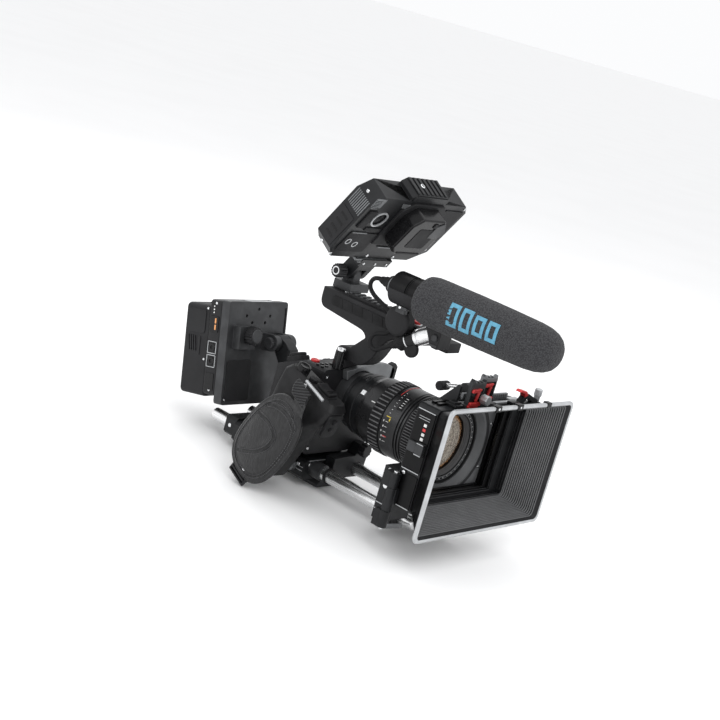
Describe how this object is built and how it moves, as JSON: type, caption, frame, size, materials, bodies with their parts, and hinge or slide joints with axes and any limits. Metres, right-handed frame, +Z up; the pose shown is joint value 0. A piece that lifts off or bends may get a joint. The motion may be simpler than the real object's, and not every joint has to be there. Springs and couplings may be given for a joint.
{
  "type": "cinema camera rig",
  "caption": "Handheld cinema camera rig: camera, lens, matte box on rods, top handle, microphone, monitor, side grip with hand strap and a rear battery plate.",
  "frame": {"origin": "middle of the tripod plate's underside, the face the rig stands on", "axes": "+Z up, the lens looks along -Y, the operator's right hand and the side grip are at -X"},
  "size_m": [0.241, 0.503, 0.3638],
  "materials": {
    "black_metal": "black anodised, satin",
    "black_plastic": "fine textured black moulding",
    "black_rubber": "matt black rubber",
    "grey_metal": "grey painted, satin",
    "steel": "brushed steel",
    "red_metal": "red anodised",
    "leather": "glossy black leather with stitching",
    "webbing": "ribbed black webbing",
    "foam": "dark grey open foam",
    "lens_glass": "coated, amber reflection",
    "screen": "dark glossy display"
  },
  "bodies": {
    "rig": {"tripod_plate": "black_metal", "base_plate": "black_metal", "front_clamp": "black_metal", "rod_left": "steel", "rod_right": "steel", "camera_body": "black_plastic", "front_bezel": "grey_metal", "lens_mount": "grey_metal", "image_sensor": "screen", "mount_adapter": "black_metal", "lens_barrel": "black_metal", "mattebox_bracket": "black_metal", "swing_pin": "steel", "top_handle": "black_plastic", "audio_module": "black_plastic", "mic_holder": "black_plastic", "mic_body": "black_metal", "mic_windscreen": "foam", "mic_plug": "black_rubber", "input_plug": "steel", "mic_cable": "black_rubber", "monitor_base": "black_metal", "rear_rod_clamp": "black_metal", "battery_arm": "black_metal"},
    "lens_front_group": {"lens_front": "black_metal", "front_glass": "lens_glass"},
    "matte_box": {"mattebox_frame": "black_metal", "hood": "black_plastic", "flag_bracket": "black_metal"},
    "monitor": {"tilt_head": "black_metal", "monitor_cage": "black_metal", "monitor_body": "black_plastic", "monitor_screen": "screen", "monitor_battery": "black_plastic"},
    "battery_mount": {"battery_plate": "black_metal", "power_hub": "black_plastic"},
    "grip": {"side_grip": "black_rubber", "strap_pad": "leather", "strap_upper": "webbing", "strap_lower": "webbing"},
    "front_clamp_knob": {"front_clamp_knob": "black_plastic"},
    "base_clamp_lever": {"base_clamp_lever": "grey_metal"},
    "record_button": {"record_button": "red_metal"},
    "nd_dial": {"nd_dial": "black_plastic"},
    "camera_battery": {"camera_battery": "black_plastic"},
    "zoom_ring": {"zoom_ring": "black_rubber"},
    "focus_ring": {"focus_ring": "black_rubber"},
    "rod_clamp_lever": {"rod_clamp_lever": "grey_metal"},
    "filter_tray_1": {"filter_tray_1": "black_metal"},
    "filter_tray_2": {"filter_tray_2": "black_metal"},
    "side_latch": {"side_latch": "grey_metal"},
    "flag_knob": {"flag_knob": "steel"},
    "locking_lever": {"locking_lever": "steel"},
    "handle_record_button": {"handle_record_button": "red_metal"},
    "mic_clamp": {"mic_clamp": "black_plastic"},
    "tilt_knob": {"tilt_knob": "black_plastic"},
    "tilt_lock_knob": {"tilt_lock_knob": "black_plastic"},
    "v_battery": {"v_battery": "black_plastic"},
    "grip_button": {"grip_button": "black_plastic"},
    "zoom_rocker": {"zoom_rocker": "black_plastic"}
  },
  "joints": [
    {"name": "zoom_turn", "type": "hinge", "parent": "rig", "child": "zoom_ring", "pos_m": [0, -0.1155, 0.109], "axis": [0, 1, 0], "range_deg": [0, 80]},
    {"name": "zoom_extend", "type": "slide", "parent": "rig", "child": "lens_front_group", "axis": [0, -1, 0], "range_m": [0, 0.005]},
    {"name": "focus_turn", "type": "hinge", "parent": "rig", "child": "focus_ring", "pos_m": [0, -0.166, 0.109], "axis": [0, 1, 0], "range_deg": [0, 120]},
    {"name": "matte_box_swing", "type": "hinge", "parent": "rig", "child": "matte_box", "pos_m": [-0.0905, -0.196, 0.059], "axis": [0, 0, -1], "range_deg": [0, 90]},
    {"name": "filter_tray_1_lift", "type": "slide", "parent": "matte_box", "child": "filter_tray_1", "axis": [0, 0, 1], "range_m": [0, 0.055]},
    {"name": "filter_tray_2_lift", "type": "slide", "parent": "matte_box", "child": "filter_tray_2", "axis": [0, 0, 1], "range_m": [0, 0.055]},
    {"name": "side_latch_open", "type": "hinge", "parent": "matte_box", "child": "side_latch", "pos_m": [-0.085, -0.1975, 0.12], "axis": [0, 0, -1], "range_deg": [0, 85]},
    {"name": "flag_knob_turn", "type": "hinge", "parent": "matte_box", "child": "flag_knob", "pos_m": [-0.016, -0.2252, 0.176], "axis": [0, 1, 0], "continuous": true},
    {"name": "locking_lever_lift", "type": "hinge", "parent": "matte_box", "child": "locking_lever", "pos_m": [0, -0.19, 0.1745], "axis": [1, 0, 0], "range_deg": [0, 55]},
    {"name": "rod_clamp_lever_turn", "type": "hinge", "parent": "rig", "child": "rod_clamp_lever", "pos_m": [-0.05, -0.163, 0.024], "axis": [1, 0, 0], "range_deg": [0, 40]},
    {"name": "base_clamp_lever_turn", "type": "hinge", "parent": "rig", "child": "base_clamp_lever", "pos_m": [-0.05, -0.028, 0.022], "axis": [1, 0, 0], "range_deg": [-60, 0]},
    {"name": "front_clamp_knob_turn", "type": "hinge", "parent": "rig", "child": "front_clamp_knob", "pos_m": [0.029, -0.0636, 0.048], "axis": [0, 1, 0], "continuous": true},
    {"name": "nd_dial_turn", "type": "hinge", "parent": "rig", "child": "nd_dial", "pos_m": [0.0594, -0.018, 0.088], "axis": [1, 0, 0], "continuous": true},
    {"name": "record_press", "type": "slide", "parent": "rig", "child": "record_button", "axis": [0, 0, -1], "range_m": [0, 0.0015], "stiffness_N_per_m": 800},
    {"name": "handle_record_press", "type": "slide", "parent": "rig", "child": "handle_record_button", "axis": [0, 0, -1], "range_m": [0, 0.0015], "stiffness_N_per_m": 800},
    {"name": "camera_battery_lift", "type": "slide", "parent": "rig", "child": "camera_battery", "axis": [0, 0, 1], "range_m": [0, 0.04]},
    {"name": "mic_clamp_open", "type": "hinge", "parent": "rig", "child": "mic_clamp", "pos_m": [-0.0345, -0.1275, 0.257], "axis": [0, 1, 0], "range_deg": [0, 100]},
    {"name": "monitor_tilt", "type": "hinge", "parent": "rig", "child": "monitor", "pos_m": [0.004, 0.002, 0.24], "axis": [1, 0, 0], "range_deg": [-60, 12]},
    {"name": "tilt_knob_turn", "type": "hinge", "parent": "rig", "child": "tilt_knob", "pos_m": [-0.018, 0.002, 0.24], "axis": [1, 0, 0], "continuous": true},
    {"name": "battery_tilt", "type": "hinge", "parent": "rig", "child": "battery_mount", "pos_m": [0.026, 0.096, 0.119], "axis": [1, 0, 0], "range_deg": [-2, 20]},
    {"name": "tilt_lock_turn", "type": "hinge", "parent": "battery_mount", "child": "tilt_lock_knob", "pos_m": [-0.024, 0.09689, 0.12801], "axis": [0, 0.9781, -0.2079], "continuous": true},
    {"name": "v_battery_lift", "type": "slide", "parent": "battery_mount", "child": "v_battery", "axis": [0, 0.2079, 0.9781], "range_m": [0, 0.04]},
    {"name": "grip_turn", "type": "hinge", "parent": "rig", "child": "grip", "pos_m": [-0.06, -0.04, 0.1], "axis": [1, 0, 0], "range_deg": [-25, 60]},
    {"name": "grip_button_press", "type": "slide", "parent": "grip", "child": "grip_button", "axis": [0, 0.2924, -0.9563], "range_m": [0, 0.0015], "stiffness_N_per_m": 800},
    {"name": "zoom_rocker_tip", "type": "hinge", "parent": "grip", "child": "zoom_rocker", "pos_m": [-0.079, -0.0723, 0.1288], "axis": [1, 0, 0], "range_deg": [-5, 5], "stiffness_Nm_per_rad": 0.3}
  ],
  "couplings": [
    {"joint": "zoom_extend", "follows": "zoom_turn", "m_per_rad": 0.003581}
  ]
}
